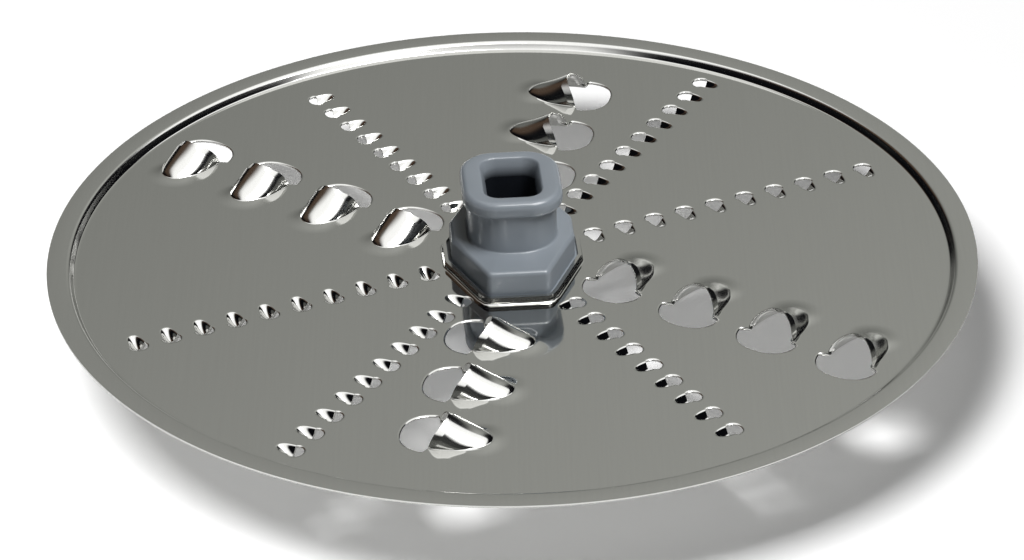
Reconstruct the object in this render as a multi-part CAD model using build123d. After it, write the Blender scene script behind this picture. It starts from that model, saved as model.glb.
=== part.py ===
from build123d import *
from math import atan2, tan
import os

# Reversible grating disc for a food processor: a pressed stainless sheet on a moulded plastic hub.
# Millimetres and degrees, +Z up, origin on the axis at the foot of the hub, coarse side up.

# Sheet
disc_diameter = 128.0
sheet_thickness = 0.5
formed_wall = 0.4
rim_flange_width = 3.0
rim_step_height = 1.0
rim_step_run = 0.7

# Hub heights, measured from the face of the sheet
collar_top_height = 12.2
collar_thickness = 2.3
base_height = 4.3
lip_height = 1.05
web_drop = 0.4

# Hub outlines, width across and length along the socket
hub_turn = 4.0
collar_width = 13.7
collar_length = 15.4
collar_corner_radius = 4.8
collar_top_bevel = 0.9
neck_width = 12.2
neck_length = 14.4
neck_corner_radius = 5.4
base_width = 17.0
base_length = 24.8
base_end_edge = 8.2
base_side_edge = 5.0
base_top_bevel = 0.5
lip_gap = 0.45
moulded_clearance = 0.02
seat_overlap = 0.3
seat_thickness = 1.2

# Drive socket through the hub
socket_width = 6.9
socket_length = 9.8
socket_corner_radius = 1.7
lead_in_width = 0.62
lead_in_depth = 1.3

# Coarse hoods: two rows on each half of the disc
coarse_row_angles = (146.2, 76.4)
coarse_row_starts = (16.6, 22.3)
coarse_pitch = 12.2
coarse_mouth_offset = 0.6
hood_radius = 3.7
hood_length = 13.0
hood_slope = 24.0
hood_mouth_lean = 45.0
hood_hole_radius = 4.15

# Fine teeth: three rows on each half, each set out a share of a pitch further than the last
fine_row_angles = (23.8, 59.5, 121.4)
fine_row_start = 12.6
fine_pitch = 4.71
tooth_half_width = 1.15
tooth_length = 2.75
tooth_hole_reach = 1.65
tooth_hole_corner = 0.9
tooth_sides = 6

# Plain sheet left between the rows and the step at the rim
rim_margin = 2.0

# Levels and reaches
sheet_bottom = collar_top_height
sheet_top = sheet_bottom + sheet_thickness
sheet_middle = (sheet_bottom + sheet_top) / 2
base_top = sheet_top + base_height
hub_top = sheet_top + collar_top_height
rim_radius = disc_diameter / 2
step_top_radius = rim_radius - rim_flange_width
step_foot_radius = step_top_radius - rim_step_run
row_end = step_foot_radius - rim_margin
tool_reach = collar_top_height / 2


def joggled_sheet():
    """Round sheet with its rim stepped up to a flat flange."""
    slope = atan2(rim_step_height, rim_step_run)
    shift = sheet_thickness * tan(slope / 2)
    flange_bottom = sheet_bottom + rim_step_height
    flange_top = sheet_top + rim_step_height
    lower = [(0, sheet_bottom), (step_foot_radius + shift, sheet_bottom)]
    lower += [(step_top_radius + shift, flange_bottom), (rim_radius, flange_bottom)]
    upper = [(rim_radius, flange_top), (step_top_radius, flange_top)]
    upper += [(step_foot_radius, sheet_top), (0, sheet_top)]
    profile = make_face(Polyline(*lower, *upper, close=True))
    return revolve(Plane.XZ * profile, Axis.Z)


def eight_sided(grow):
    """Outline of the hub base, offset outward by grow."""
    side = base_width / 2
    end = base_length / 2
    along = base_side_edge / 2
    across = base_end_edge / 2
    half = [(side, along), (across, end), (-across, end), (-side, along)]
    outline = half + [(-x, -y) for x, y in half]
    face = make_face(Polyline(*outline, close=True))
    if grow > 0:
        face = offset(face, grow, kind=Kind.INTERSECTION)
    return face


def rounded_block(width, length, corner_radius, bottom, height):
    """Upright block with rounded corners, the radius held within the outline."""
    largest_radius = min(width, length) / 2 - moulded_clearance
    outline = RectangleRounded(width, length, min(corner_radius, largest_radius))
    return extrude(Pos(0, 0, bottom) * outline, height)


def hood_pin(grow):
    """Round pin that passes the mouth at the origin and sinks back along +Y through the sheet."""
    pin = Cylinder(hood_radius + grow, hood_length, align=(Align.CENTER, Align.CENTER, Align.MIN))
    return Rot(-90 - hood_slope, 0, 0) * pin


def hood_hole():
    """Half-round punch for the hole in front of a hood."""
    front = Pos(0, -hood_hole_radius / 2, 0) * Box(2 * hood_hole_radius, hood_hole_radius, 2 * tool_reach)
    return Cylinder(hood_hole_radius, 2 * tool_reach) & front


def tooth_cone(grow):
    """Faceted cone along the face of the sheet: widest at the mouth, tapering to a point along +Y."""
    radius = tooth_half_width + grow
    length = tooth_length * radius / tooth_half_width
    mouth = Plane.XZ * RegularPolygon(radius, tooth_sides)
    return loft([mouth.face(), Vertex(0, length, 0)], ruled=True)


def tooth_hole():
    """Punch for the hole in front of a tooth."""
    outline = Pos(0, -tooth_hole_reach / 2) * Rectangle(2 * tooth_half_width, tooth_hole_reach)
    outline = chamfer(outline.vertices().group_by(Axis.Y)[0], tooth_hole_corner)
    return extrude(outline, tool_reach, both=True)


def row_places(angle, start, pitch, half_width, offset_along, facing):
    """Places along a row and along the row opposite it, as many as fit inside the rim."""
    count = int((row_end - half_width - start) / pitch) + 1
    places = []
    for turn in (angle, angle + 180):
        for step in range(count):
            spot = Pos(start + step * pitch, offset_along, sheet_top)
            places.append(Rot(0, 0, turn) * spot * Rot(0, 0, facing))
    return places


def coarse_places():
    """Places of the hoods, whose mouths face clockwise."""
    places = []
    for angle, start in zip(coarse_row_angles, coarse_row_starts):
        places += row_places(angle, start, coarse_pitch, hood_hole_radius, coarse_mouth_offset, 0)
    return places


def fine_places():
    """Places of the teeth, whose mouths face anticlockwise."""
    places = []
    for row, angle in enumerate(fine_row_angles):
        start = fine_row_start + row * fine_pitch / len(fine_row_angles)
        places += row_places(angle, start, fine_pitch, tooth_half_width, 0, 180)
    return places


def grating_disc():
    """Pressed sheet with its hub hole and lip, coarse hoods and fine teeth."""
    half_sheet = sheet_thickness / 2
    slab = Box(disc_diameter, disc_diameter, 2 * tool_reach)
    above = Pos(0, 0, tool_reach - half_sheet) * slab
    below = Pos(0, 0, -tool_reach - half_sheet) * slab
    mouth_side = Rot(-hood_mouth_lean, 0, 0) * Pos(0, -tool_reach, 0) * Box(*3 * [2 * tool_reach])
    hood_skin = (hood_pin(0) & above) - mouth_side
    tooth_skin = tooth_cone(formed_wall) & below
    hood_tools = [hood_pin(-formed_wall), hood_hole()]
    tooth_tools = [tooth_cone(0), tooth_hole()]
    lip_outline = eight_sided(lip_gap + sheet_thickness)
    hub_lip = extrude(Pos(0, 0, sheet_middle) * lip_outline, half_sheet + lip_height)
    hub_hole = extrude(eight_sided(lip_gap), hub_top)

    sheet = joggled_sheet() + Rot(0, 0, hub_turn) * hub_lip
    sheet += [place * hood_skin for place in coarse_places()]
    sheet += [place * tooth_skin for place in fine_places()]
    punches = [place * tool for place in coarse_places() for tool in hood_tools]
    punches += [place * tool for place in fine_places() for tool in tooth_tools]
    return sheet - punches - Rot(0, 0, hub_turn) * hub_hole


def hub_half():
    """Upper half of the hub, from the middle of the sheet up, with the mouth of the socket bevelled."""
    collar_bottom = hub_top - collar_thickness
    base = extrude(Pos(0, 0, sheet_middle) * eight_sided(0), base_top - sheet_middle)
    base = chamfer(base.edges().group_by(Axis.Z)[-1], base_top_bevel)
    neck_height = collar_bottom - sheet_middle
    neck = rounded_block(neck_width, neck_length, neck_corner_radius, sheet_middle, neck_height)
    collar = rounded_block(collar_width, collar_length, collar_corner_radius, collar_bottom, collar_thickness)
    collar = chamfer(collar.edges().group_by(Axis.Z)[-1], collar_top_bevel)
    socket = rounded_block(socket_width, socket_length, socket_corner_radius, sheet_middle, hub_top)
    half = base + neck + collar - socket
    top_face = half.faces().sort_by(Axis.Z)[-1]
    mouth = top_face.inner_wires()[0].edges()
    return chamfer(mouth, lead_in_width, lead_in_depth, reference=top_face)


def hub():
    """Moulded hub, alike above and below the sheet, with a socket through it."""
    upper = hub_half()
    lower = mirror(upper, Plane.XY.offset(sheet_middle))
    web_outline = eight_sided(lip_gap - moulded_clearance)
    web = extrude(Pos(0, 0, sheet_bottom) * web_outline, sheet_thickness + lip_height - web_drop)
    seat_outline = eight_sided(lip_gap + sheet_thickness + seat_overlap)
    seat = extrude(Pos(0, 0, sheet_bottom - seat_thickness) * seat_outline, seat_thickness)
    ring = web + seat - extrude(eight_sided(0), hub_top)
    return Rot(0, 0, hub_turn) * (upper + lower + ring)


os.makedirs("parts", exist_ok=True)
export_step(grating_disc(), "parts/grating_disc.step")
export_step(hub(), "parts/hub.step")
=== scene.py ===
"""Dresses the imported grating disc: a polished pressed sheet, its moulded hub, a floor, light and a camera."""

import math
from collections import Counter

import bmesh
import bpy
from bpy.props import FloatProperty, FloatVectorProperty, IntProperty, PointerProperty, StringProperty
from bpy.types import Operator, Panel, PropertyGroup
from mathutils import Matrix, Vector


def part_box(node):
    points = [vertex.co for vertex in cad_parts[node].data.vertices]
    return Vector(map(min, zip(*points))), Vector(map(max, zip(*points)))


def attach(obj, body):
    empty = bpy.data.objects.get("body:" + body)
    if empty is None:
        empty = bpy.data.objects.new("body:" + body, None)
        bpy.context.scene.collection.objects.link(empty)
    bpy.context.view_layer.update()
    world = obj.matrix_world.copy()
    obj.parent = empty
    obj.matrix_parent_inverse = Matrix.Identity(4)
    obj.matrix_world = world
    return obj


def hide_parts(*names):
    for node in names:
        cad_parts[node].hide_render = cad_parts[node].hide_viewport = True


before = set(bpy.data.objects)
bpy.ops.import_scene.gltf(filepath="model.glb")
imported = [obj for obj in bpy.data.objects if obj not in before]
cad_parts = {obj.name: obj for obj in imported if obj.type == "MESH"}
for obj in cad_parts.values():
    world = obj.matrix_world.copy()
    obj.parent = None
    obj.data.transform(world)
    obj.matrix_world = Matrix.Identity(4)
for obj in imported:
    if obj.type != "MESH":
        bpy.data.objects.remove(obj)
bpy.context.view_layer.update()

bl_info = {
    "name": "Grating disc",
    "version": (1, 0, 0),
    "blender": (4, 5, 0),
    "location": "View3D > Sidebar > Grating disc",
    "description": "Builds a pressed grating disc on a moulded hub, with a studio stage",
    "category": "Object",
}

MM = 0.001
DISC_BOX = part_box("grating_disc")
HUB_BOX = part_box("hub")

# Rows of the two kinds of opening: angle in degrees, first reach in millimetres, number in the row
COARSE_ROWS = ((146.2, 16.6, 4), (76.4, 22.3, 3))
FINE_ROWS = ((23.8, 12.6, 10), (59.5, 14.17, 10), (121.4, 15.74, 9))

# A hood's lines across, rows along its skin and how they crowd to its foot, rows round the foot,
# shares of the skirt where its rows lie, and points round the front of its hole
HOOD_COLUMNS = 68
HOOD_ROWS = 12
HOOD_CROWDING = 1.7
FOOT_ROWS = 5
SKIRT_SHARES = (0.25, 0.45, 0.7, 1.0)
HOOD_HOLE_POINTS = 40

# A tooth's lines across, shares of its length where its rows lie, and points round the front of its hole
TOOTH_COLUMNS = 18
TOOTH_SHARES = (0.0, 0.12, 0.26, 0.42, 0.58, 0.74, 0.87, 0.95, 1.0, 1.1)
TOOTH_HOLE_POINTS = 16

# Spacing of points along the straight edges of the lip and the hub
LIP_SPACING = 1.4 * MM
HUB_SPACING = 0.7 * MM

# Flat sheet kept round each pressed shape, so that its shading ends before the plain sheet
HOOD_MARGIN = 0.3 * MM
TOOTH_MARGIN = 0.2 * MM
RIM_MARGIN = 0.45 * MM
LIP_MARGIN = 0.1 * MM

# Step between the feet of a hood and its hole
MOUTH_GAP = 0.02 * MM

# Edge of a hole, rolled over by the punch, from the flat sheet inward: distance out and drop in millimetres,
# and the end of the mouth's side that each line starts from
HOLE_EDGE = ((0.4, 0, -1), (0.24, 0, 0), (0.12, 0.025, 0), (0, 0.11, 0))

# How near to the sheet's upper face a point counts as flat
LEVEL = 0.004 * MM


def length(name, description, millimetres):
    """Length property with its default given in millimetres."""
    metres = millimetres * MM
    return FloatProperty(name=name, description=description, default=metres, unit="LENGTH", precision=5)


def angle(name, description, degrees):
    """Angle property with its default given in degrees."""
    return FloatProperty(name=name, description=description, default=math.radians(degrees), subtype="ANGLE")


def colour(name, description, code):
    """Colour property kept as an sRGB hex code."""
    return StringProperty(name=name, description=description, default=code)


class SheetSizes(PropertyGroup):
    """Sizes of the pressed sheet."""

    rim_radius: length("Rim radius", "Outer radius of the disc", min(-DISC_BOX[0][0], DISC_BOX[1][0]) / MM)
    thickness: length("Thickness", "Thickness of the sheet", 0.5)
    flange_width: length("Flange width", "Width of the flat flange at the rim", 3.0)
    step_height: length("Step height", "Rise of the sheet to the flange", 1.0)
    step_run: length("Step run", "Width of the step in plan", 0.7)
    foot_bend: length("Foot bend", "Bend radius at the foot of the step", 0.3)
    top_bend: length("Top bend", "Bend radius at the top of the step", 0.8)
    rim_segments: IntProperty(name="Rim segments", description="Segments round the rim", default=288)
    edge_break: length("Edge break", "Width over which the rim thins to its cut edge", 0.5)
    edge_thinning: FloatProperty(name="Edge thinning", description="Weight of that thinning", default=0.6)
    edge_share: FloatProperty(name="Edge share", description="Thickness left at a ground edge", default=0.3)
    lip_height: length("Lip height", "Height of the lip turned up round the hub", 1.05)
    lip_gap: length("Lip gap", "Gap between the lip and the hub", 0.45)
    lip_bend: length("Lip bend", "Bend radius at the foot of the lip", 0.35)
    crease: angle("Crease", "Angle from which an edge is shaded sharp", 75)


class HoodSizes(PropertyGroup):
    """Sizes of a coarse hood, pressed up behind its hole."""

    pitch: length("Pitch", "Distance between hoods in a row", 12.2)
    mouth_offset: length("Mouth offset", "Distance of the mouth behind the row's line", 0.6)
    half_width: length("Half width", "Half the width of the mouth at the sheet", 3.45)
    height: length("Height", "Height of the mouth's crown above the sheet", 3.1)
    set_back: length("Set back", "How far the crown stands behind the feet of the mouth", 1.9)
    tail: length("Tail", "Distance from the mouth to the end of the hood", 7.9)
    fullness: FloatProperty(name="Fullness", description="Power of the hood's rounded outline", default=2.2)
    sag: FloatProperty(name="Sag", description="Sag of the ridge between the mouth and the end", default=0.6)
    bulge: FloatProperty(name="Bulge", description="Share of the fall kept for the blunt end", default=0.22)
    bluntness: FloatProperty(name="Bluntness", description="Power of the fall at the blunt end", default=10.0)
    arch: FloatProperty(name="Arch", description="Power of the arch across the hood", default=2.2)
    shoulder: FloatProperty(name="Shoulder", description="Power of the shoulders at the mouth", default=0.68)
    shoulder_ease: FloatProperty(name="Shoulder ease", description="Growth of that to the end", default=0.16)
    foot_bend: length("Foot bend", "Height at which the skin starts to bend into the sheet", 0.16)
    blend: length("Blend", "Reach of the soft skirt behind the tail", 1.8)
    skirt: length("Skirt", "Reach of the skirt at the sides", 0.2)
    skirt_rise: FloatProperty(name="Skirt rise", description="Rise of the skirt for its reach", default=0.09)
    hole_half_width: length("Hole half width", "Half the width of the hole in front", 4.3)
    hole_reach: length("Hole reach", "How far the hole runs in front of the mouth", 4.35)
    hole_power: FloatProperty(name="Hole power", description="Power of the hole's outline", default=2.35)
    edge_least: length("Edge least", "Width of the ground edge at the crown", 0.2)
    edge_width: length("Edge width", "Width of the ground edge beside the mouth", 0.9)
    edge_drop: FloatProperty(name="Edge drop", description="Fall of the edge for its width", default=0.36)


class ToothSizes(PropertyGroup):
    """Sizes of a fine tooth, pressed down behind its hole."""

    pitch: length("Pitch", "Distance between teeth in a row", 4.71)
    half_width: length("Half width", "Half the width of the scoop at its mouth", 1.1)
    depth: length("Depth", "Depth of the scoop at its mouth", 1.05)
    trough: length("Trough", "Length of the scoop", 2.2)
    hole_reach: length("Hole reach", "How far the hole runs in front of the mouth", 1.65)
    hole_power: FloatProperty(name="Hole power", description="Power of the hole's outline", default=2.5)
    taper: FloatProperty(name="Taper", description="Share of the width lost evenly to the end", default=0.25)
    point: FloatProperty(name="Point", description="Share of its square lost at the end", default=0.75)
    fall: FloatProperty(name="Fall", description="Power of the scoop's rise to its end", default=1.3)
    arch: FloatProperty(name="Arch", description="Power of the scoop's hollow across", default=1.4)


class HubSizes(PropertyGroup):
    """Sizes of the moulded hub."""

    turn: angle("Turn", "Turn of the hub on the disc", 4.0)
    collar_thickness: length("Collar thickness", "Height of the collar", 2.3)
    collar_width: length("Collar width", "Width of the collar across the socket", 13.7)
    collar_length: length("Collar length", "Length of the collar along the socket", 15.4)
    collar_corner: length("Collar corner", "Corner radius of the collar", 4.8)
    collar_top_round: length("Collar top round", "Rounding of the collar's outer face", 0.95)
    collar_under_round: length("Collar under round", "Rounding of the collar's inner face", 0.6)
    neck_width: length("Neck width", "Width of the neck across the socket", 12.2)
    neck_length: length("Neck length", "Length of the neck along the socket", 14.4)
    neck_corner: length("Neck corner", "Corner radius of the neck", 5.4)
    neck_fillet: length("Neck fillet", "Fillet at the foot of the neck", 0.35)
    base_height: length("Base height", "Height of the eight-sided base above the sheet", 4.3)
    base_width: length("Base width", "Width of the base across the socket", 17.0)
    base_length: length("Base length", "Length of the base along the socket", 24.8)
    base_end_edge: length("Base end edge", "Length of the edges across the ends", 8.2)
    base_side_edge: length("Base side edge", "Length of the edges along the sides", 5.0)
    base_corner: length("Base corner", "Corner radius of the base", 0.85)
    base_round: length("Base round", "Rounding of the base's outer face", 0.65)
    web_drop: length("Web drop", "How far the web lies below the lip", 0.4)
    web_grow: length("Web reach", "How far the web stands out from the base", 0.43)
    seat_grow: length("Seat reach", "How far the seat under the sheet stands out", 1.25)
    seat_thickness: length("Seat thickness", "Thickness of the seat under the sheet", 1.2)
    socket_width: length("Socket width", "Width of the drive socket", 6.9)
    socket_length: length("Socket length", "Length of the drive socket", 9.8)
    socket_corner: length("Socket corner", "Corner radius of the drive socket", 1.7)
    lead_in_width: length("Lead-in width", "Width of the bevel at the socket's mouth", 0.62)
    lead_in_depth: length("Lead-in depth", "Depth of the bevel at the socket's mouth", 1.3)
    lead_in_round: length("Lead-in round", "Reach of the rounding above that bevel", 0.2)
    crease: angle("Crease", "Angle from which an edge is shaded sharp", 30)


class Finishes(PropertyGroup):
    """Colours of the materials, as sRGB hex codes."""

    steel: colour("Steel", "Polished stainless steel", "#d2d2cf")
    steel_line: colour("Steel line", "Rolling lines in the steel", "#cdcdca")
    plastic: colour("Plastic", "Moulded hub plastic", "#9198a0")
    plastic_shade: colour("Plastic shade", "Flow shade in the plastic", "#889097")
    # Painted shade: a dark colour painted on the walls deep in the drive socket, standing in for the shade
    # there
    socket: colour("Socket", "Plastic deep in the socket", "#181b20")
    floor: colour("Floor", "Studio floor", "#fbfbfb")


class StageSettings(PropertyGroup):
    """Camera, lamps and surroundings."""

    focal_length: FloatProperty(
        name="Focal length", description="Lens in millimetres on a 36 mm sensor", default=154.67
    )
    distance: FloatProperty(
        name="Distance", description="Camera to the middle of the sheet", default=0.6074, unit="LENGTH"
    )
    elevation: angle("Elevation", "Height of the camera above the sheet", 30.524)
    roll: angle("Roll", "Roll of the camera", -0.854)
    shift_y: FloatProperty(name="Shift", description="Upward shift of the frame", default=-0.0255)
    panel: FloatProperty(name="Panel", description="Brightness of the panel overhead", default=1.5)
    matt_share: FloatProperty(
        name="Matt share", description="Share of the surroundings thrown on by the steel", default=0.15
    )
    front_place: FloatVectorProperty(
        name="Front place", description="Place of the softbox in front", default=(0.41, -0.32, 1.08)
    )
    front_size: FloatProperty(name="Front size", description="Size of that softbox", default=0.6)
    front_power: FloatProperty(name="Front power", description="Power of that softbox in watts", default=14.2)
    floor_place: FloatVectorProperty(
        name="Floor place", description="Place of the floor's softbox", default=(-0.58, -0.3, 1.49)
    )
    floor_size: FloatProperty(name="Floor size", description="Size of that softbox", default=0.77)
    floor_power: FloatProperty(name="Floor power", description="Power of that softbox in watts", default=28.0)
    floor_lift: FloatProperty(
        name="Floor lift", description="Brightness added to the floor where it is seen", default=0.18
    )


class GratingDisc(PropertyGroup):
    """All settings of the grating disc."""

    sheet: PointerProperty(type=SheetSizes)
    hood: PointerProperty(type=HoodSizes)
    tooth: PointerProperty(type=ToothSizes)
    hub: PointerProperty(type=HubSizes)
    finishes: PointerProperty(type=Finishes)
    stage: PointerProperty(type=StageSettings)


def settings():
    """Settings kept on the scene."""
    return bpy.context.scene.grating_disc


def linear(code):
    """Linear RGBA of an sRGB hex code."""
    parts = [int(code[i:i + 2], 16) / 255 for i in (1, 3, 5)]
    return [p / 12.92 if p <= 0.04045 else ((p + 0.055) / 1.055) ** 2.4 for p in parts] + [1.0]


def add_node(tree, kind, inputs=None, **values):
    """Adds a node, sets its values and links or fills its inputs."""
    made = tree.nodes.new(kind)
    for name, value in values.items():
        setattr(made, name, value)
    for socket, value in (inputs or {}).items():
        if isinstance(value, bpy.types.NodeSocket):
            tree.links.new(value, made.inputs[socket])
        else:
            made.inputs[socket].default_value = value
    return made


def new_material(name):
    """Empty node material and its tree."""
    material = bpy.data.materials.new(name)
    material.use_nodes = True
    material.node_tree.nodes.clear()
    return material, material.node_tree


def deselect():
    """Leaves edit mode and deselects everything."""
    if bpy.context.object and bpy.context.object.mode != "OBJECT":
        bpy.ops.object.mode_set(mode="OBJECT")
    bpy.ops.object.select_all(action="DESELECT")


def pressed_grid(name, columns, rows, place):
    """Grid primitive with each vertex moved to place(column, row)."""
    deselect()
    bpy.ops.mesh.primitive_grid_add(x_subdivisions=columns, y_subdivisions=rows, size=MM)
    made = bpy.context.object
    made.name = name
    if len(made.data.vertices) != (columns + 1) * (rows + 1):
        raise RuntimeError("the grid has another number of vertices than planned")
    for vertex in made.data.vertices:
        row, column = divmod(vertex.index, columns + 1)
        vertex.co = place(column, row)
    return made


def extruded_ring(name, rings):
    """Circle primitive set on the first ring and extruded to each of the others."""
    deselect()
    bpy.ops.mesh.primitive_circle_add(vertices=len(rings[0]), radius=MM)
    made = bpy.context.object
    made.name = name
    bpy.ops.object.mode_set(mode="EDIT")
    mesh = bmesh.from_edit_mesh(made.data)
    spot = mesh.verts.layers.int.new("spot")
    for vertex in mesh.verts:
        vertex[spot] = vertex.index
        vertex.co = rings[0][vertex.index]
    for ring in rings[1:]:
        bpy.ops.mesh.extrude_region_move()
        mesh = bmesh.from_edit_mesh(made.data)
        spot = mesh.verts.layers.int["spot"]
        for vertex in mesh.verts:
            if vertex.select:
                vertex.co = ring[vertex[spot]]
    bmesh.update_edit_mesh(made.data)
    return made


def quarter(start, corner, end, steps):
    """Rounded corner from start to end, tangent to the lines through corner."""
    points = []
    for step in range(steps + 1):
        turn = math.pi / 2 * step / steps
        along = math.sin(turn)
        aside = 1 - math.cos(turn)
        points.append(tuple(s + (c - s) * along + (e - c) * aside for s, c, e in zip(start, corner, end)))
    return points


def bend(before, corner, after, radius, steps):
    """Round bend of a profile at a corner, for the given radius."""
    inward = (Vector(before) - Vector(corner)).normalized()
    onward = (Vector(after) - Vector(corner)).normalized()
    opening = inward.angle(onward)
    reach = radius / math.tan(opening / 2)
    start = Vector(corner) + inward * reach
    end = Vector(corner) + onward * reach
    middle = Vector(corner) + (inward + onward).normalized() * radius / math.sin(opening / 2)
    points = []
    for step in range(steps + 1):
        share = step / steps
        spoke = radius * (start - middle).slerp(end - middle, share)
        points.append(tuple(middle + spoke))
    return points


def inset_corners(corners, amount):
    """Corners of a convex outline with every edge moved inward."""
    lines = []
    for (x0, y0), (x1, y1) in zip(corners, corners[1:] + corners[:1]):
        run = math.hypot(x1 - x0, y1 - y0)
        normal = ((y1 - y0) / run, (x0 - x1) / run)
        lines.append((normal[0], normal[1], normal[0] * x0 + normal[1] * y0 - amount))
    moved = []
    for (a, b, c), (d, e, f) in zip(lines[-1:] + lines[:-1], lines):
        area = a * e - b * d
        moved.append(((c * e - b * f) / area, (a * f - c * d) / area))
    return moved


def rounded_rectangle(width, depth, radius):
    """Rounded outline of a rectangle: inner corners, anticlockwise, and the radius about them."""
    side = width / 2
    end = depth / 2
    return inset_corners([(side, -end), (side, end), (-side, end), (-side, -end)], radius), radius


def base_outline(sizes):
    """Corners of the eight-sided base, anticlockwise."""
    side = sizes.base_width / 2
    end = sizes.base_length / 2
    along = sizes.base_side_edge / 2
    across = sizes.base_end_edge / 2
    half = [(side, -along), (side, along), (across, end), (-across, end)]
    return half + [(-x, -y) for x, y in half]


def distance_outside(point, corners):
    """Distance of a point from a convex outline, nothing inside it."""
    inside = True
    nearest = math.inf
    for (x0, y0), (x1, y1) in zip(corners, corners[1:] + corners[:1]):
        run_x = x1 - x0
        run_y = y1 - y0
        off_x = point[0] - x0
        off_y = point[1] - y0
        if run_x * off_y - run_y * off_x < 0:
            inside = False
        share = min(max((off_x * run_x + off_y * run_y) / (run_x ** 2 + run_y ** 2), 0), 1)
        nearest = min(nearest, math.hypot(off_x - share * run_x, off_y - share * run_y))
    return 0 if inside else nearest


def ring_on(outline, grow, height, directions):
    """Points where rays from the axis cross a rounded outline, grown outward."""
    corners, radius = outline
    ring = []
    for direction in directions:
        near = 0.0
        far = 0.05
        for halving in range(36):
            middle = (near + far) / 2
            point = (middle * math.cos(direction), middle * math.sin(direction))
            if distance_outside(point, corners) > radius + grow:
                far = middle
            else:
                near = middle
        ring.append((near * math.cos(direction), near * math.sin(direction), height))
    return ring


def outline_directions(outline, spacing, corner_steps):
    """Directions from the axis to points set out along a rounded outline."""
    corners, radius = outline
    directions = []
    count = len(corners)
    for index in range(count):
        previous = Vector(corners[index - 1])
        here = Vector(corners[index])
        following = Vector(corners[(index + 1) % count])
        first, last = [math.atan2(run.y, run.x) - math.pi / 2 for run in (here - previous, following - here)]
        turn = (last - first) % (2 * math.pi)
        for step in range(corner_steps + 1):
            way = first + turn * step / corner_steps
            spot = here + radius * Vector((math.cos(way), math.sin(way)))
            directions.append(math.atan2(spot.y, spot.x))
        edge = following - here
        parts = max(int(edge.length / spacing), 1)
        for step in range(1, parts):
            spot = here + edge * step / parts + radius * Vector((math.cos(last), math.sin(last)))
            directions.append(math.atan2(spot.y, spot.x))
    return sorted(directions)


def base_rounded(sizes):
    """Rounded outline of the base: inner corners and the radius about them."""
    return inset_corners(base_outline(sizes), sizes.base_corner), sizes.base_corner


def sheet_levels():
    """Heights of the sheet's lower and upper face."""
    middle = HUB_BOX[1][2] / 2
    half = settings().sheet.thickness / 2
    return middle - half, middle + half


def hood_height(hood, x, y):
    """Height of a hood's skin over the sheet: arched across, falling from the mouth to a blunt end."""
    share = (y - hood.set_back) / (hood.tail - hood.set_back)
    fall = (1 - share) * (1 - hood.sag * share)
    blunt = 1 - max(share, 0) ** hood.bluntness
    ridge = hood.height * ((1 - hood.bulge) * fall + hood.bulge * blunt)
    half = hood.half_width * max(1 - (y / hood.tail) ** hood.fullness, 0) ** (1 / hood.fullness)
    if half <= 0:
        return 0.0
    shoulder = hood.shoulder + hood.shoulder_ease * min(max(share, 0), 1)
    return ridge * max(1 - (abs(x) / half) ** hood.arch, 0) ** shoulder


def smooth_share(value, low, high):
    """Share of the way from low to high, eased at both ends."""
    share = min(max((value - low) / (high - low), 0), 1)
    return share * share * (3 - 2 * share)


def hood_rows(hood, across):
    """Points of one line of a hood, from the edge of its mouth back to the flat sheet."""
    turn = math.pi * across
    cosine = math.cos(turn)
    sine = math.sin(turn)
    power = 2 / hood.fullness
    side = math.copysign(abs(cosine) ** power, cosine)
    mouth = Vector((hood.half_width * cosine, hood.set_back * sine ** 2))
    foot = Vector((hood.half_width * side, hood.tail * sine ** power))
    run = max((foot - mouth).length, 0.001 * MM)
    steep = hood.fullness - 1
    across_foot = math.copysign(abs(side) ** steep, cosine) / hood.half_width
    outward = Vector((across_foot, sine ** (power * steep) / hood.tail, 0)).normalized()

    def skin(share):
        spot = mouth.lerp(foot, share)
        return Vector((spot.x, spot.y, hood_height(hood, spot.x, spot.y)))

    crown = skin(0).z
    near = 0.0
    far = 1.0
    for halving in range(30):
        middle = (near + far) / 2
        if skin(middle).z > min(hood.foot_bend, 0.5 * crown):
            near = middle
        else:
            far = middle
    # The ground edge is full at the sides of the mouth and runs out at its crown
    lean = smooth_share(abs(cosine), 0.05, 0.6)
    width = min((hood.edge_least + hood.edge_width * lean) / run, 0.5 * near)
    points = [skin(0) - Vector((0, 0, hood.edge_drop * width * run * lean))]
    # Rows crowd towards the foot, where the skin bends most
    for step in range(HOOD_ROWS + 1):
        share = 1 - (1 - step / HOOD_ROWS) ** HOOD_CROWDING
        points.append(skin(width + (near - width) * share))
    # The skirt spreads behind the hood and stays narrow at its sides
    behind = smooth_share(sine, 0.35, 0.9)
    flare = hood.skirt + hood.blend * behind
    rise = hood.skirt_rise * behind * flare

    def skirt(share):
        return foot.to_3d() + outward * flare * share + Vector((0, 0, rise * (1 - share) ** 2))

    start = points[-1]
    end = skirt(SKIRT_SHARES[0])
    for step in range(1, FOOT_ROWS + 1):
        share = step / FOOT_ROWS
        points.append((1 - share) ** 2 * start + 2 * share * (1 - share) * skirt(0) + share ** 2 * end)
    points += [skirt(share) for share in SKIRT_SHARES[1:]]
    points.append(skirt(1) + outward * HOOD_MARGIN)
    return points


def hole_outline(half_width, reach, power, count):
    """Points round the front of a hole, from its right side to its left."""
    outline = []
    for step in range(1, count):
        turn = math.pi * step / count
        across = math.copysign(abs(math.cos(turn)) ** (2 / power), math.cos(turn))
        outline.append((half_width * across, -reach * math.sin(turn) ** (2 / power), 0))
    return outline


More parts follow.
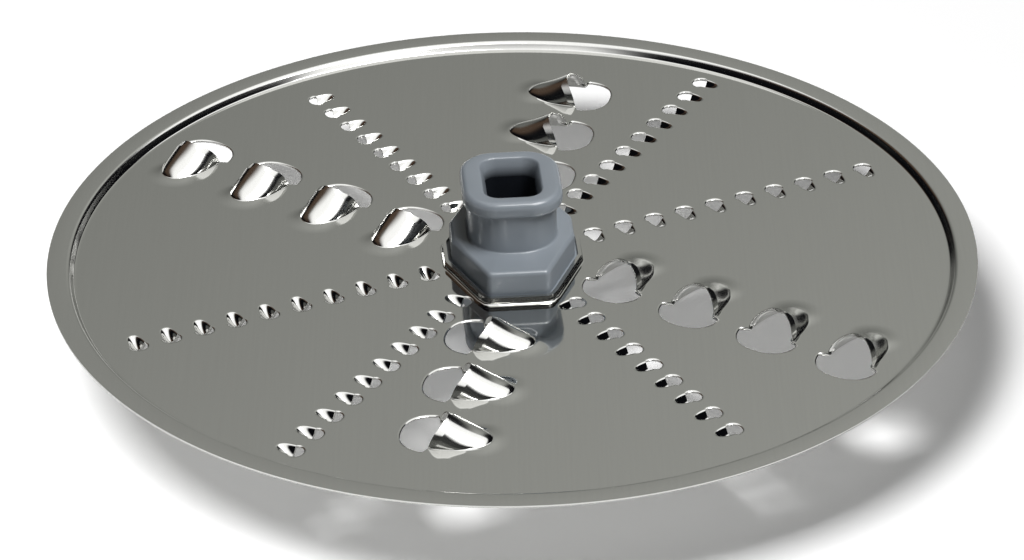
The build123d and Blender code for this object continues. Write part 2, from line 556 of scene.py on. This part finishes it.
def hood_patch(hood):
    """One hood with the edge of the hole in front of it, its mouth at the origin and facing -Y."""
    columns = HOOD_COLUMNS
    lines = [hood_rows(hood, column / columns) for column in range(columns + 1)]
    patch = pressed_grid("hood", columns, len(lines[0]) - 1, lambda column, row: lines[column][row])
    for edge in patch.data.edges:
        edge.use_edge_sharp = all(vertex // (columns + 1) == 1 for vertex in edge.vertices)
    patch.vertex_groups.new(name="ground_edge").add(list(range(columns + 1)), 1.0, "REPLACE")
    outline = hole_outline(hood.hole_half_width, hood.hole_reach, hood.hole_power, HOOD_HOLE_POINTS)
    outline = [(x, y - MOUTH_GAP, z) for x, y, z in outline]
    starts = range(0, len(lines[0]) * (columns + 1), columns + 1)
    add_hole_edge(patch, (starts, [start + columns for start in starts]), outline)
    return patch


def tooth_patch(tooth):
    """One tooth with the edge of the hole in front of it, its mouth at the origin and facing -Y."""
    columns = TOOTH_COLUMNS

    def place(column, row):
        share = TOOTH_SHARES[row]
        inside = min(share, 1)
        aside = 2 * (column - 1) / (columns - 2) - 1
        across = min(abs(aside), 1)
        half = tooth.half_width * (1 - tooth.taper * inside) * (1 - tooth.point * inside ** 4) ** 0.5
        deep = tooth.depth * (1 - inside ** 2) ** tooth.fall * (1 - across ** 2) ** tooth.arch
        margin = TOOTH_MARGIN if abs(aside) > 1 else 0
        return Vector((math.copysign(half * across + margin, aside), share * tooth.trough, -deep))

    patch = pressed_grid("tooth", columns, len(TOOTH_SHARES) - 1, place)
    half_width = tooth.half_width + TOOTH_MARGIN
    outline = hole_outline(half_width, tooth.hole_reach, tooth.hole_power, TOOTH_HOLE_POINTS)
    add_hole_edge(patch, ((1, 0), (columns - 1, columns)), outline[::-1])
    return patch


def add_hole_edge(patch, sides, outline):
    """Adds a hole's edge, rolled over by the punch, between the two sides of a patch's mouth."""
    mesh = bmesh.new()
    mesh.from_mesh(patch.data)
    mesh.verts.ensure_lookup_table()
    near, far = [[mesh.verts[index] for index in side] for side in sides]
    middle = Vector((0, 0.4 * min(y for x, y, z in outline), 0))
    rows = []
    for outward, drop, end in HOLE_EDGE:
        row = [near[end]]
        for point in outline:
            aside = (Vector(point) - middle).normalized()
            row.append(mesh.verts.new(Vector(point) + (aside * outward - Vector((0, 0, drop))) * MM))
        rows.append(row + [far[end]])
    for outer, inner in zip(rows, rows[1:]):
        for index in range(len(outer) - 1):
            corners = [outer[index], outer[index + 1], inner[index + 1], inner[index]]
            if outer is rows[0] and index == 0:
                corners = [outer[0], outer[1], inner[1]] + near[:-1]
            if outer is rows[0] and index == len(outer) - 2:
                corners = [outer[index]] + far[::-1] + [inner[index]]
            mesh.faces.new(list(dict.fromkeys(corners)))
    mesh.to_mesh(patch.data)
    mesh.free()


def row_places(rows, pitch, offset, facing):
    """Places along each row and along the row opposite it."""
    upper = sheet_levels()[1]
    places = []
    for row_angle, start, count in rows:
        for opposite in (0, 180):
            turned = Matrix.Rotation(math.radians(row_angle + opposite), 4, "Z")
            for step in range(count):
                spot = Matrix.Translation((start * MM + step * pitch, offset, upper))
                places.append(turned @ spot @ Matrix.Rotation(math.radians(facing), 4, "Z"))
    return places


def copies(master, places):
    """Copies of a patch at its places, each with its own mesh; the master goes."""
    made = []
    for place in places:
        copy = bpy.data.objects.new(master.name, master.data.copy())
        copy.data.transform(place)
        bpy.context.collection.objects.link(copy)
        made.append(copy)
    bpy.data.objects.remove(master)
    return made


def rim_ring(sheet):
    """Step and flange at the rim, from the flat sheet outward."""
    upper = sheet_levels()[1]
    step_top = sheet.rim_radius - sheet.flange_width
    step_foot = step_top - sheet.step_run
    flange = upper + sheet.step_height
    profile = [(step_foot - RIM_MARGIN, upper)]
    profile += bend((0, upper), (step_foot, upper), (step_top, flange), sheet.foot_bend, 5)
    profile += bend((step_foot, upper), (step_top, flange), (1, flange), sheet.top_bend, 8)
    profile += [(sheet.rim_radius - sheet.edge_break, flange), (sheet.rim_radius, flange)]
    rings = []
    for radius, height in profile:
        ring = []
        for step in range(sheet.rim_segments):
            turn = 2 * math.pi * step / sheet.rim_segments
            ring.append((radius * math.cos(turn), radius * math.sin(turn), height))
        rings.append(ring)
    rim = extruded_ring("rim", rings)
    bpy.ops.object.mode_set(mode="OBJECT")
    inner = sheet.rim_radius - sheet.edge_break / 2
    outermost = [vertex.index for vertex in rim.data.vertices if vertex.co.xy.length > inner]
    rim.vertex_groups.new(name="ground_edge").add(outermost, sheet.edge_thinning, "REPLACE")
    return rim


def lip_ring(sheet, hub):
    """Lip turned up round the hub, from the flat sheet inward."""
    upper = sheet_levels()[1]
    outline = base_rounded(hub)
    directions = outline_directions(outline, LIP_SPACING, 6)
    wall = sheet.lip_gap + sheet.thickness
    profile = [(wall + sheet.lip_bend + LIP_MARGIN, upper)]
    foot = (wall + sheet.lip_bend, upper)
    profile += quarter(foot, (wall, upper), (wall, upper + sheet.lip_bend), 6)
    profile += [(wall, upper + sheet.lip_height)]
    rings = [ring_on(outline, grow, height, directions) for grow, height in profile]
    made = extruded_ring("lip", rings)
    bpy.ops.object.mode_set(mode="OBJECT")
    made.data.transform(Matrix.Rotation(hub.turn, 4, "Z"))
    return made


def finish_piece(piece, material, node):
    """Gives a piece its material and ties it to the frame."""
    piece.data.materials.clear()
    piece.data.materials.append(material)
    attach(piece, "root")
    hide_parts(node)


def apply_modifier(piece, name, kind, **values):
    """Adds a modifier, sets it and applies it."""
    modifier = piece.modifiers.new(name, kind)
    for key, value in values.items():
        setattr(modifier, key, value)
    bpy.ops.object.modifier_apply(modifier=name)


def polished_stainless(finishes):
    """Stainless steel, rolled and mirror polished: sharp reflections, barely drawn out by rolling lines."""
    material, tree = new_material("polished_stainless")
    place = add_node(tree, "ShaderNodeTexCoord")
    # Rolling lines lie along Y, about 0.35 mm apart and tens of millimetres long
    drawn_out = {"Vector": place.outputs["Object"], "Scale": (1.0, 0.02, 0.3)}
    stretch = add_node(tree, "ShaderNodeMapping", drawn_out)
    rolled = {"Vector": stretch.outputs["Vector"], "Scale": 1 / (0.35 * MM), "Detail": 3.0}
    lines = add_node(tree, "ShaderNodeTexNoise", rolled)
    shades = {"Factor": lines.outputs["Fac"], 6: linear(finishes.steel), 7: linear(finishes.steel_line)}
    shade = add_node(tree, "ShaderNodeMix", shades, data_type="RGBA")
    # Drawn metal is a little less sharp than the flat sheet
    height = add_node(tree, "ShaderNodeSeparateXYZ", {"Vector": place.outputs["Object"]})
    upper = sheet_levels()[1]
    drawn = {"Value": height.outputs["Z"], "From Min": upper + 0.1 * MM, "From Max": upper + 0.6 * MM}
    rough = add_node(tree, "ShaderNodeMapRange", {**drawn, "To Min": 0.06, "To Max": 0.15})
    bumps = {"Height": lines.outputs["Fac"], "Strength": 0.03, "Distance": 0.02 * MM}
    relief = add_node(tree, "ShaderNodeBump", bumps)
    steel = add_node(
        tree,
        "ShaderNodeBsdfPrincipled",
        {
            "Base Color": shade.outputs[2],
            "Metallic": 1.0,
            "Roughness": rough.outputs["Result"],
            "Normal": relief.outputs["Normal"],
        },
    )
    add_node(tree, "ShaderNodeOutputMaterial", {"Surface": steel.outputs["BSDF"]})
    return material


def moulded_plastic(finishes):
    """Grey ABS from a satin mould: soft highlights along its rounded edges, a faint grain, and painted shade
    deep in the drive socket.
    """
    material, tree = new_material("moulded_abs")
    place = add_node(tree, "ShaderNodeTexCoord")
    # Mould grain about 0.25 mm across
    mould = {"Vector": place.outputs["Object"], "Scale": 1 / (0.25 * MM), "Detail": 2.0}
    grain = add_node(tree, "ShaderNodeTexNoise", mould)
    # Flow shade about 8 mm across
    melt = {"Vector": place.outputs["Object"], "Scale": 1 / (8 * MM), "Detail": 3.0}
    flow = add_node(tree, "ShaderNodeTexNoise", melt)
    shades = {"Factor": flow.outputs["Fac"], 6: linear(finishes.plastic), 7: linear(finishes.plastic_shade)}
    shade = add_node(tree, "ShaderNodeMix", shades, data_type="RGBA")
    # Painted shade: the walls of the drive socket, within 5.85 mm of the axis and below its lead-in, are
    # painted darker with depth, because hardly any light reaches them
    spot = add_node(tree, "ShaderNodeSeparateXYZ", {"Vector": place.outputs["Object"]})
    flat = add_node(tree, "ShaderNodeCombineXYZ", {"X": spot.outputs["X"], "Y": spot.outputs["Y"]})
    reach = add_node(tree, "ShaderNodeVectorMath", {0: flat.outputs["Vector"]}, operation="LENGTH")
    round_axis = {0: reach.outputs["Value"], 1: 5.85 * MM}
    within = add_node(tree, "ShaderNodeMath", round_axis, operation="LESS_THAN")
    top = HUB_BOX[1][2]
    depth = {"Value": spot.outputs["Z"], "From Min": top - 1.15 * MM, "From Max": top - 2.7 * MM}
    deep = add_node(tree, "ShaderNodeMapRange", depth)
    inside = {0: within.outputs[0], 1: deep.outputs["Result"]}
    dark = add_node(tree, "ShaderNodeMath", inside, operation="MULTIPLY")
    # Lays the painted socket shade over the plastic's colour
    plastic_and_painted_shade = {"Factor": dark.outputs[0], 6: shade.outputs[2], 7: linear(finishes.socket)}
    body = add_node(tree, "ShaderNodeMix", plastic_and_painted_shade, data_type="RGBA")
    rough = add_node(
        tree, "ShaderNodeMapRange", {"Value": grain.outputs["Fac"], "To Min": 0.18, "To Max": 0.28}
    )
    bumps = {"Height": grain.outputs["Fac"], "Strength": 0.08, "Distance": 0.03 * MM}
    relief = add_node(tree, "ShaderNodeBump", bumps)
    plastic = add_node(
        tree,
        "ShaderNodeBsdfPrincipled",
        {
            "Base Color": body.outputs[2],
            "Roughness": rough.outputs["Result"],
            "IOR": 1.52,
            "Normal": relief.outputs["Normal"],
        },
    )
    add_node(tree, "ShaderNodeOutputMaterial", {"Surface": plastic.outputs["BSDF"]})
    return material


class GRATING_OT_disc(Operator):
    """Builds the pressed sheet with its rim, lip, hoods and teeth"""

    bl_idname = "grating.disc"
    bl_label = "Pressed disc"
    bl_options = {"REGISTER", "UNDO"}

    def execute(self, context):
        sizes = settings()
        rim = rim_ring(sizes.sheet)
        parts = [rim, lip_ring(sizes.sheet, sizes.hub)]
        hoods = row_places(COARSE_ROWS, sizes.hood.pitch, sizes.hood.mouth_offset, 0)
        parts += copies(hood_patch(sizes.hood), hoods)
        teeth = row_places(FINE_ROWS, sizes.tooth.pitch, 0, 180)
        parts += copies(tooth_patch(sizes.tooth), teeth)
        deselect()
        for part in parts:
            part.select_set(True)
        context.view_layer.objects.active = rim
        bpy.ops.object.join()
        disc = context.object
        disc.name = "polished_disc"
        self.fill_flat(disc)
        wall = {"thickness": sizes.sheet.thickness, "offset": -1.0}
        thin = {"vertex_group": "ground_edge", "invert_vertex_group": True}
        thin["thickness_vertex_group"] = sizes.sheet.edge_share
        apply_modifier(disc, "wall", "SOLIDIFY", **wall, **thin)
        bpy.ops.object.shade_smooth_by_angle(angle=sizes.sheet.crease)
        finish_piece(disc, polished_stainless(sizes.finishes), "grating_disc")
        return {"FINISHED"}

    def fill_flat(self, disc):
        """Fills the flat sheet between the pressed shapes."""
        upper = sheet_levels()[1]
        bpy.ops.object.mode_set(mode="EDIT")
        bpy.ops.mesh.select_mode(type="EDGE")
        bpy.ops.mesh.select_all(action="SELECT")
        bpy.ops.mesh.remove_doubles(threshold=0.001 * MM)
        bpy.ops.mesh.select_all(action="DESELECT")
        mesh = bmesh.from_edit_mesh(disc.data)
        border = [edge for edge in mesh.edges if len(edge.link_faces) < 2]
        border = [edge for edge in border if all(abs(end.co.z - upper) < LEVEL for end in edge.verts)]
        # An edge that ends loose would make the fill close the holes instead
        uses = Counter(end for edge in border for end in edge.verts)
        for edge in border:
            edge.select = all(uses[end] > 1 for end in edge.verts)
        mesh.select_flush_mode()
        bmesh.update_edit_mesh(disc.data)
        bpy.ops.mesh.fill(use_beauty=True)
        bpy.ops.mesh.select_all(action="SELECT")
        bpy.ops.mesh.normals_make_consistent(inside=False)
        mesh = bmesh.from_edit_mesh(disc.data)
        flat = [face for face in mesh.faces if abs(face.calc_center_median().z - upper) < LEVEL]
        if not flat or any(len(edge.link_faces) > 2 for edge in mesh.edges):
            raise RuntimeError("the flat sheet was not filled")
        if sum(face.normal.z * face.calc_area() for face in flat) < 0:
            bpy.ops.mesh.flip_normals()
        bpy.ops.object.mode_set(mode="OBJECT")


class GRATING_OT_hub(Operator):
    """Builds the moulded hub with its collar, neck, base and drive socket"""

    bl_idname = "grating.hub"
    bl_label = "Moulded hub"
    bl_options = {"REGISTER", "UNDO"}

    def execute(self, context):
        sizes = settings()
        hub = extruded_ring("moulded_hub", self.rings(sizes))
        bpy.ops.mesh.select_all(action="DESELECT")
        mesh = bmesh.from_edit_mesh(hub.data)
        for edge in mesh.edges:
            if len(edge.link_faces) == 1:
                edge.select = True
        mesh.select_flush_mode()
        bmesh.update_edit_mesh(hub.data)
        bpy.ops.mesh.bridge_edge_loops()
        bpy.ops.mesh.select_all(action="SELECT")
        bpy.ops.mesh.normals_make_consistent(inside=False)
        bpy.ops.object.mode_set(mode="OBJECT")
        hub.data.transform(Matrix.Rotation(sizes.hub.turn, 4, "Z"))
        bpy.ops.object.shade_smooth_by_angle(angle=sizes.hub.crease)
        finish_piece(hub, moulded_plastic(sizes.finishes), "hub")
        return {"FINISHED"}

    def rings(self, sizes):
        """Rings of the hub from the lower end of the socket, round the outside, to its upper end."""
        hub = sizes.hub
        lower, upper = sheet_levels()
        top = HUB_BOX[1][2]
        base = base_rounded(hub)
        collar = rounded_rectangle(hub.collar_width, hub.collar_length, hub.collar_corner)
        neck = rounded_rectangle(hub.neck_width, hub.neck_length, hub.neck_corner)
        socket = rounded_rectangle(hub.socket_width, hub.socket_length, hub.socket_corner)
        directions = outline_directions(base, HUB_SPACING, 5)

        def half():
            base_top = upper + hub.base_height
            collar_foot = top - hub.collar_thickness
            rows = []
            edge = hub.base_round
            rows += [(base, *p) for p in quarter((0, base_top - edge), (0, base_top), (-edge, base_top), 6)]
            edge = hub.neck_fillet
            rows += [(neck, *p) for p in quarter((edge, base_top), (0, base_top), (0, base_top + edge), 4)]
            rows += [(neck, 0, collar_foot)]
            edge = hub.collar_under_round
            start = (-edge, collar_foot)
            end = (0, collar_foot + edge)
            rows += [(collar, *p) for p in quarter(start, (0, collar_foot), end, 5)]
            edge = hub.collar_top_round
            rows += [(collar, *p) for p in quarter((0, top - edge), (0, top), (-edge, top), 7)]
            wide = hub.lead_in_width
            deep = hub.lead_in_depth
            # The rounding ends a fifth of the way down the bevel
            start = (wide + hub.lead_in_round, top)
            end = (wide * 0.8, top - deep * 0.2)
            rows += [(socket, *p) for p in quarter(start, (wide, top), end, 4)]
            rows += [(socket, 0, top - deep)]
            return rows

        web_top = upper + sizes.sheet.lip_height - hub.web_drop
        over = [(base, hub.web_grow, lower), (base, hub.web_grow, web_top), (base, 0, web_top)] + half()
        seat_foot = lower - hub.seat_thickness
        under = [(outline, grow, top - height) for outline, grow, height in half()]
        under = [(base, hub.seat_grow, lower), (base, hub.seat_grow, seat_foot), (base, 0, seat_foot)] + under
        rows = under[::-1] + over
        return [ring_on(outline, grow, height, directions) for outline, grow, height in rows]


class GRATING_OT_stage(Operator):
    """Sets the floor, lamps, surroundings and camera"""

    bl_idname = "grating.stage"
    bl_label = "Studio stage"
    bl_options = {"REGISTER", "UNDO"}

    def execute(self, context):
        stage = settings().stage
        self.floor(stage, settings().finishes)
        self.lamps(stage)
        self.surroundings(context, stage)
        self.camera(context, stage)
        context.scene.view_settings.view_transform = "Standard"
        return {"FINISHED"}

    def floor(self, stage, finishes):
        """Wide matt floor under the hub's foot."""
        deselect()
        bpy.ops.mesh.primitive_plane_add(size=30.0, location=(0, 0, 0))
        floor = bpy.context.object
        floor.name = "floor"
        material, tree = new_material("matt_floor")
        paint = add_node(tree, "ShaderNodeBsdfDiffuse", {"Color": linear(finishes.floor)})
        # The white ground is overexposed: what sees it directly or mirrored sees it lifted, shadow and all
        ray = add_node(tree, "ShaderNodeLightPath")
        seen = ray.outputs["Is Camera Ray"]
        for kind in ("Is Glossy Ray", "Is Transmission Ray"):
            either = {0: seen, 1: ray.outputs[kind]}
            seen = add_node(tree, "ShaderNodeMath", either, operation="MAXIMUM").outputs[0]
        lift = add_node(tree, "ShaderNodeMath", {0: seen, 1: stage.floor_lift}, operation="MULTIPLY")
        glow = add_node(tree, "ShaderNodeEmission", {"Strength": lift.outputs[0]})
        both = add_node(tree, "ShaderNodeAddShader", {0: paint.outputs["BSDF"], 1: glow.outputs["Emission"]})
        add_node(tree, "ShaderNodeOutputMaterial", {"Surface": both.outputs["Shader"]})
        floor.data.materials.append(material)

    def lamps(self, stage):
        """Softbox in front for the pieces, and one overhead that gives the floor its soft shadow."""
        pieces = [bpy.data.objects[name] for name in ("polished_disc", "moulded_hub")]
        floor = [bpy.data.objects["floor"]]
        for name, place, size, power, lit in (
            ("front_softbox", stage.front_place, stage.front_size, stage.front_power, pieces),
            ("floor_softbox", stage.floor_place, stage.floor_size, stage.floor_power, floor),
        ):
            light = bpy.data.lights.new(name, "AREA")
            light.size = size
            light.energy = power
            lamp = bpy.data.objects.new(name, light)
            lamp.location = place
            lamp.rotation_euler = Vector(place).to_track_quat("Z", "Y").to_euler()
            receivers = bpy.data.collections.new(name)
            for receiver in lit:
                receivers.objects.link(receiver)
            lamp.light_linking.receiver_collection = receivers
            bpy.context.collection.objects.link(lamp)

    def surroundings(self, context, stage):
        """Studio for the steel to mirror: paper behind the object, a panel overhead and a dark room."""
        world = bpy.data.worlds.new("studio")
        context.scene.world = world
        world.use_nodes = True
        tree = world.node_tree
        tree.nodes.clear()
        way = add_node(tree, "ShaderNodeTexCoord")
        parts = add_node(tree, "ShaderNodeSeparateXYZ", {"Vector": way.outputs["Generated"]})
        reads = {"x": parts.outputs["X"], "y": parts.outputs["Y"], "z": parts.outputs["Z"]}
        reads["aside"] = add_node(tree, "ShaderNodeMath", {0: reads["x"]}, operation="ABSOLUTE").outputs[0]
        # How far a direction leans from the vertical lays out the panel overhead
        rise = add_node(tree, "ShaderNodeMath", {0: reads["z"], 1: 0.05}, operation="MAXIMUM").outputs[0]
        for name in ("x", "y"):
            lean = add_node(tree, "ShaderNodeMath", {0: reads[name], 1: rise}, operation="DIVIDE")
            reads["lean_" + name] = lean.outputs[0]
        # Paper sweep, bright at its foot and brighter to the right
        ramp = add_node(tree, "ShaderNodeValToRGB", {"Fac": reads["z"]})
        stops = (
            (0.0, "#e1e2de"), (0.08, "#a8a9a5"), (0.2, "#7a7b78"), (0.4, "#90918d"),
            (0.47, "#999a96"), (0.55, "#a8a9a5"), (0.65, "#b5b6b2"),
        )
        elements = ramp.color_ramp.elements
        while len(elements) < len(stops):
            elements.new(1.0)
        for element, (position, code) in zip(elements, stops):
            element.position = position
            element.color = linear(code)
        slope = add_node(tree, "ShaderNodeMath", {0: reads["x"], 1: 1.0}, operation="ADD")
        lit = {0: ramp.outputs["Color"], "Scale": slope.outputs[0]}
        paper = add_node(tree, "ShaderNodeVectorMath", lit, operation="SCALE").outputs[0]
        panel = [stage.panel] * 3 + [1.0]
        across_panel = (("lean_x", -0.75, -0.25), ("lean_x", 1.25, 0.95))
        along_panel = (("lean_y", -1.1, -0.85), ("lean_y", 0.88, 0.68))
        # Each layer covers those before it: its colour, and its soft edges, each with the reading that it
        # goes by and the values where the layer starts and where it is full
        layers = (
            # Warm wall at the left
            (linear("#56463a"), (("y", -0.3, 0.3), ("z", 0.25, 0.5), ("x", -0.8, -0.65), ("x", -0.1, -0.3))),
            # Far walls, low down at the sides and on the camera's side, and what is above them there
            (linear("#646562"), (("aside", 0.85, 0.95), ("z", 0.36, 0.28))),
            (linear("#646562"), (("y", 0.1, -0.2), ("z", 0.36, 0.28))),
            (linear("#3c3d3c"), (("y", -0.6, -0.8), ("z", 0.62, 0.5), ("z", 0.28, 0.36))),
            (paper, (("aside", 0.5, 0.34), ("y", 0.3, 0.5))),
            (panel, across_panel + along_panel),
        )
        seen = linear("#0c0d10")
        for tint, edges in layers:
            share = 1.0
            for name, low, high in edges:
                span = {"Value": reads[name], "From Min": low, "From Max": high}
                edge = add_node(tree, "ShaderNodeMapRange", span, interpolation_type="SMOOTHSTEP")
                both = {0: edge.outputs["Result"], 1: share}
                share = add_node(tree, "ShaderNodeMath", both, operation="MULTIPLY").outputs[0]
            layer = add_node(tree, "ShaderNodeMix", {"Factor": share, 6: seen, 7: tint}, data_type="RGBA")
            seen = layer.outputs[2]
        # The lamps light what is matt, which gets a share of the surroundings only by way of the steel
        ray = add_node(tree, "ShaderNodeLightPath")
        depth = {0: ray.outputs["Diffuse Depth"], 1: 1.0}
        matt = add_node(tree, "ShaderNodeMath", depth, operation="MINIMUM")
        dimmed = {0: matt.outputs[0], 1: stage.matt_share - 1.0, 2: 1.0}
        level = add_node(tree, "ShaderNodeMath", dimmed, operation="MULTIPLY_ADD")
        glow = add_node(tree, "ShaderNodeBackground", {"Color": seen, "Strength": level.outputs[0]})
        world.cycles_visibility.diffuse = False
        add_node(tree, "ShaderNodeOutputWorld", {"Surface": glow.outputs["Background"]})

    def camera(self, context, stage):
        """Camera at the photograph's angle, on the middle of the sheet."""
        lens = bpy.data.cameras.new("camera")
        lens.sensor_width = 36.0
        lens.lens = stage.focal_length
        lens.shift_y = stage.shift_y
        lens.clip_start = 0.01
        lens.clip_end = 100.0
        camera = bpy.data.objects.new("camera", lens)
        target = Vector((0, 0, sheet_levels()[1]))
        forward = Vector((0, math.cos(stage.elevation), -math.sin(stage.elevation)))
        level = Vector((1, 0, 0))
        upright = level.cross(forward)
        right = level * math.cos(stage.roll) + upright * math.sin(stage.roll)
        up = upright * math.cos(stage.roll) - level * math.sin(stage.roll)
        turned = Matrix((right, up, -forward)).transposed().to_4x4()
        camera.matrix_world = Matrix.Translation(target - forward * stage.distance) @ turned
        context.collection.objects.link(camera)
        context.scene.camera = camera


class GRATING_PT_panel(Panel):
    """Panel with the builders of the grating disc"""

    bl_idname = "GRATING_PT_panel"
    bl_label = "Grating disc"
    bl_space_type = "VIEW_3D"
    bl_region_type = "UI"
    bl_category = "Grating disc"

    def draw(self, context):
        for builder in BUILDERS:
            self.layout.operator(builder.bl_idname)


BUILDERS = (GRATING_OT_disc, GRATING_OT_hub, GRATING_OT_stage)
GROUPS = (SheetSizes, HoodSizes, ToothSizes, HubSizes, Finishes, StageSettings, GratingDisc)
CLASSES = GROUPS + BUILDERS + (GRATING_PT_panel,)


def register():
    """Registers the classes and the settings on the scene."""
    for kind in CLASSES:
        bpy.utils.register_class(kind)
    bpy.types.Scene.grating_disc = PointerProperty(type=GratingDisc)


def unregister():
    """Takes the settings and the classes away again."""
    del bpy.types.Scene.grating_disc
    for kind in reversed(CLASSES):
        bpy.utils.unregister_class(kind)


def main():
    """Builds the pieces and the stage."""
    register()
    bpy.ops.grating.disc()
    bpy.ops.grating.hub()
    bpy.ops.grating.stage()


if __name__ == "__main__":
    main()
